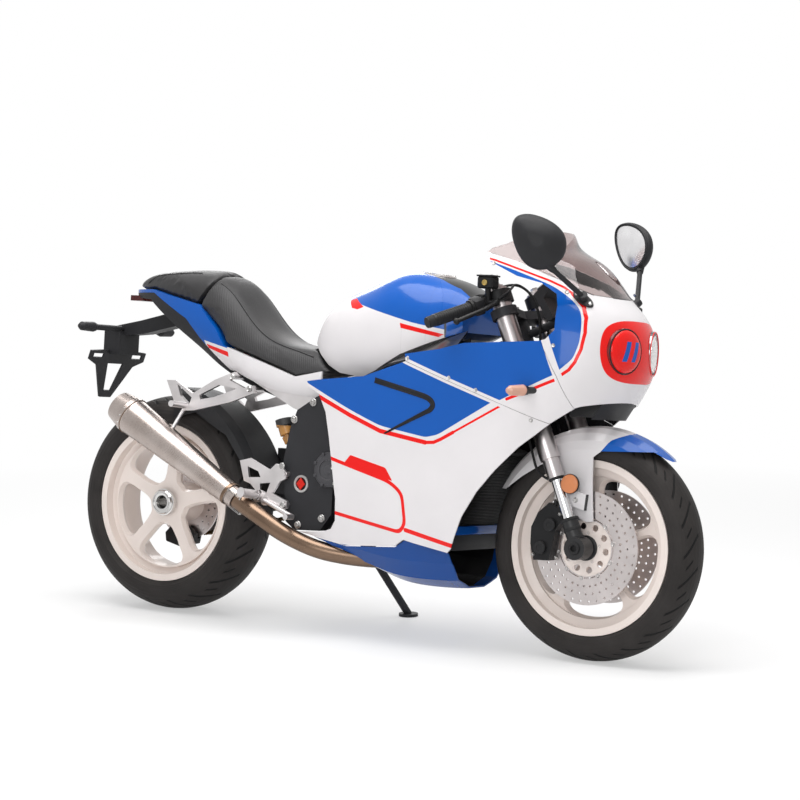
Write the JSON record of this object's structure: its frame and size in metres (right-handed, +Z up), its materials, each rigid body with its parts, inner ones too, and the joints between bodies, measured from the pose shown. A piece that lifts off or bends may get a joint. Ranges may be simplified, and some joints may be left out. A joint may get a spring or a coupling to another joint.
{
  "type": "sport motorcycle",
  "caption": "Faired road sport motorcycle on its side stand, with turning steering, free wheels and a folding stand.",
  "frame": {"origin": "middle of the bounding box at floor level, the motorcycle leaning 6 degrees onto its side stand", "axes": "+X to the front of the motorcycle, +Y to its left, +Z up"},
  "size_m": [2.015, 0.6318, 1.1763],
  "materials": {
    "frame_paint": "satin",
    "cast_silver": "satin",
    "engine_dark": "satin",
    "radiator_black": "matte",
    "body_paint": "gloss",
    "body_blue": "gloss",
    "black_plastic": "satin",
    "tinted_screen": "gloss",
    "lamp": "gloss",
    "lamp_amber": "gloss",
    "tail_red": "gloss",
    "seat_leather": "satin",
    "tank_paint": "gloss",
    "steel_pipe": "satin",
    "steel_can": "brushed",
    "chrome": "polished",
    "fork_silver": "satin",
    "disc_steel": "brushed",
    "chain_steel": "oiled",
    "wheel_paint": "satin",
    "tyre": "matte",
    "hose_rubber": "matte",
    "caliper_black": "satin"
  },
  "bodies": {
    "chassis": {"main_frame": "frame_paint", "subframe": "cast_silver", "engine": "engine_dark", "radiator": "radiator_black", "nose_fairing": "body_paint", "cowl_side_panels": "body_blue", "side_fairing_right": "body_paint", "side_fairing_left": "body_paint", "belly_pan": "body_blue", "nose_liner": "black_plastic", "windscreen": "tinted_screen", "headlamps": "lamp", "instrument_panel": "black_plastic", "mirrors": "black_plastic", "fuel_tank": "tank_paint", "filler_cap": "cast_silver", "cockpit_trim": "black_plastic", "seat_panels": "body_paint", "brake_reservoir": "black_plastic", "rider_seat": "seat_leather", "pillion_pad": "seat_leather", "tail_cowl": "body_blue", "undertray": "black_plastic", "tail_lamp": "tail_red", "plate_hanger": "black_plastic", "front_indicators": "lamp_amber", "exhaust_pipe": "steel_pipe", "silencer": "steel_can", "swingarm": "frame_paint", "rear_hugger": "black_plastic", "rear_shock": "frame_paint", "rear_caliper": "caliper_black", "rearset_right": "cast_silver", "rearset_left": "cast_silver", "pillion_rests": "cast_silver", "drive_chain": "chain_steel"},
    "steering": {"fork_yokes": "frame_paint", "fork_legs": "fork_silver", "handlebar_right": "black_plastic", "handlebar_left": "black_plastic", "front_fender": "body_paint", "front_calipers": "caliper_black", "front_axle": "chrome", "brake_hoses": "hose_rubber"},
    "front_wheel": {"front_rim": "wheel_paint", "front_tyre": "tyre", "front_discs": "disc_steel"},
    "rear_wheel": {"rear_rim": "wheel_paint", "rear_tyre": "tyre", "rear_disc": "disc_steel", "rear_sprocket": "disc_steel", "rear_spindle": "chrome"},
    "side_stand": {"side_stand": "frame_paint"}
  },
  "joints": [
    {"name": "steering_turn", "type": "hinge", "parent": "chassis", "child": "steering", "pos_m": [0.49258, -0.03111, 0.71589], "axis": [-0.3987, 0.0959, 0.912], "range_deg": [-27, 27]},
    {"name": "front_wheel_spin", "type": "hinge", "parent": "steering", "child": "front_wheel", "pos_m": [0.7075, -0.07491, 0.29913], "axis": [0, 0.9945, -0.1045], "continuous": true},
    {"name": "rear_wheel_spin", "type": "hinge", "parent": "chassis", "child": "rear_wheel", "pos_m": [-0.6925, -0.07334, 0.31405], "axis": [0, 0.9945, -0.1045], "continuous": true},
    {"name": "side_stand_fold", "type": "hinge", "parent": "chassis", "child": "side_stand", "pos_m": [-0.0925, 0.04277, 0.19426], "axis": [-0.1761, 0.9216, 0.3458], "range_deg": [0, 100]}
  ]
}
